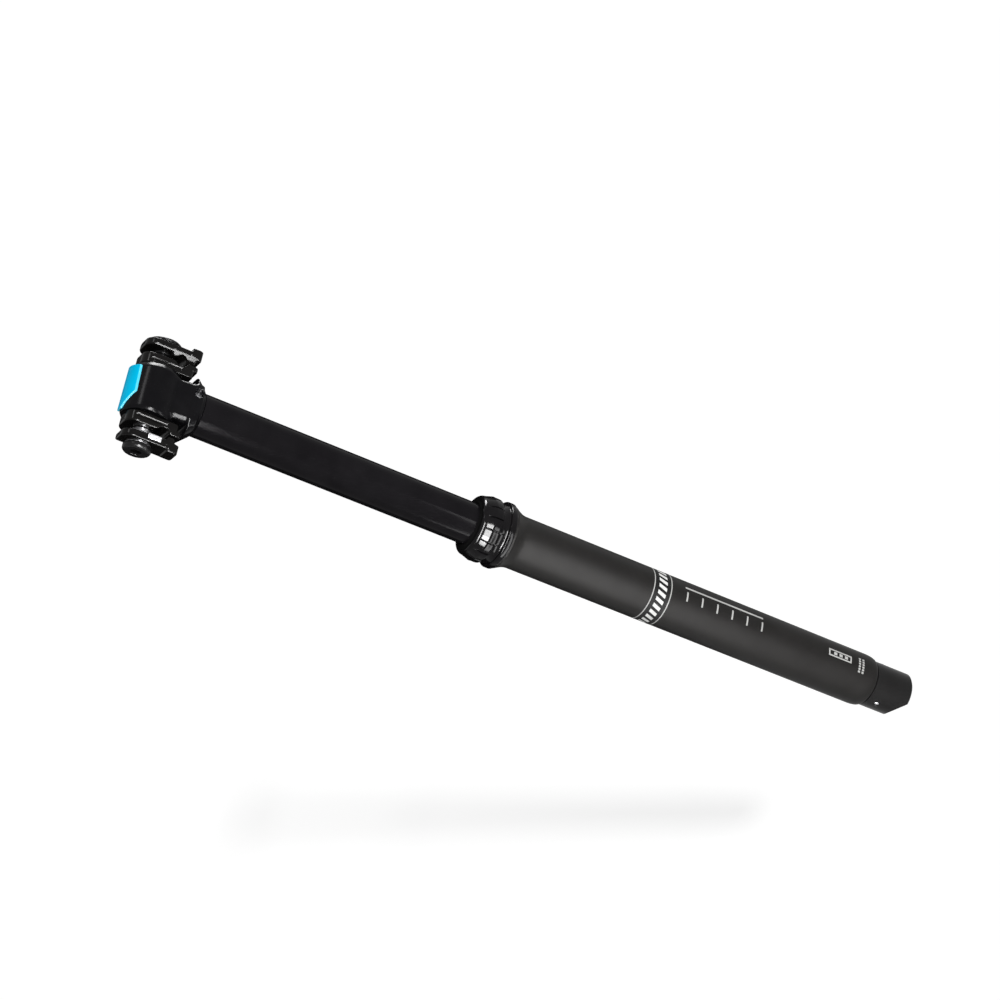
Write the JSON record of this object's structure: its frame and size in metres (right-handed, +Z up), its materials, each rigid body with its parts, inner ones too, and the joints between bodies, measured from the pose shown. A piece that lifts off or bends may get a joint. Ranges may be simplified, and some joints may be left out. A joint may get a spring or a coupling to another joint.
{
  "type": "dropper seatpost",
  "caption": "Telescoping bicycle seatpost with an internal gas spring, a cable actuator at its foot and a side-bolt saddle rail clamp on its head.",
  "frame": {"origin": "on the post's axis, where the lower tube's straight outside ends under the flare", "axes": "+Z up the post to the saddle, X across the bicycle along the clamp bolt, Y along the saddle rails"},
  "size_m": [0.0671, 0.0398, 0.5168],
  "materials": {
    "tube_anodised": "matte black anodised",
    "stanchion_black": "glossy black anodised",
    "collar_black": "glossy black anodised",
    "head_black": "glossy black forging",
    "clamp_black": "glossy black forging",
    "bolt_black": "black oxide",
    "washer_steel": "satin steel",
    "plate_blue": "glossy cyan blue",
    "seal_rubber": "matte rubber",
    "foam_grey": "oiled foam",
    "bushing_polymer": "bearing polymer",
    "key_brass": "brass",
    "inner_aluminium": "machined",
    "rod_steel": "ground and chromed",
    "pin_steel": "ground steel",
    "housing_black": "satin black anodised"
  },
  "bodies": {
    "root": {"outer_tube": "tube_anodised", "seal_collar": "collar_black", "wiper_seal": "seal_rubber", "foam_ring": "foam_grey", "upper_bushing": "bushing_polymer", "bottom_out_bumper": "seal_rubber", "piston_rod": "rod_steel", "main_piston": "inner_aluminium", "piston_seal": "seal_rubber", "actuator_housing": "housing_black", "housing_oring": "seal_rubber", "lever_pivot": "pin_steel"},
    "inner_tube": {"stanchion": "stanchion_black", "lower_bushing": "bushing_polymer", "alignment_keys": "key_brass", "top_out_bumper": "seal_rubber", "retaining_ring": "pin_steel", "rod_guide": "inner_aluminium", "rod_seal": "seal_rubber", "cartridge_tube": "inner_aluminium", "cartridge_cap": "inner_aluminium", "fill_valve": "key_brass", "head": "head_black", "head_grub_screw": "pin_steel", "top_plate": "plate_blue"},
    "saddle_clamp": {"clamp_inner_right": "clamp_black", "clamp_inner_left": "clamp_black", "clamp_outer_right": "clamp_black", "clamp_outer_left": "clamp_black", "clamp_bolt": "bolt_black", "clamp_nut": "bolt_black", "clamp_washer_right": "washer_steel", "clamp_washer_left": "washer_steel"},
    "lever": {"actuator_lever": "pin_steel", "cable_barrel": "key_brass"},
    "valve": {"valve_pin": "pin_steel"},
    "gas_piston": {"floating_piston": "inner_aluminium", "floating_piston_seal": "seal_rubber"}
  },
  "joints": [
    {"name": "stanchion_slide", "type": "slide", "parent": "root", "child": "inner_tube", "axis": [0, 0, 1], "range_m": [-0.17, 0], "stiffness_N_per_m": 250, "springref_m": 0.6},
    {"name": "clamp_tilt", "type": "hinge", "parent": "inner_tube", "child": "saddle_clamp", "pos_m": [0, 0, 0.2297], "axis": [1, 0, 0], "range_deg": [-15, 15]},
    {"name": "lever_swing", "type": "hinge", "parent": "root", "child": "lever", "pos_m": [0, -0.0045, -0.253], "axis": [1, 0, 0], "range_deg": [0, 17], "stiffness_Nm_per_rad": 0.4, "springref_deg": -11.46},
    {"name": "valve_lift", "type": "slide", "parent": "root", "child": "valve", "axis": [0, 0, 1], "range_m": [0, 0.0011]},
    {"name": "gas_piston_slide", "type": "slide", "parent": "inner_tube", "child": "gas_piston", "axis": [0, 0, 1], "range_m": [0, 0.0345]}
  ],
  "couplings": [
    {"joint": "lever_swing", "follows": "valve_lift", "rad_per_m": 222.22},
    {"joint": "gas_piston_slide", "follows": "stanchion_slide", "ratio": -0.1975}
  ]
}
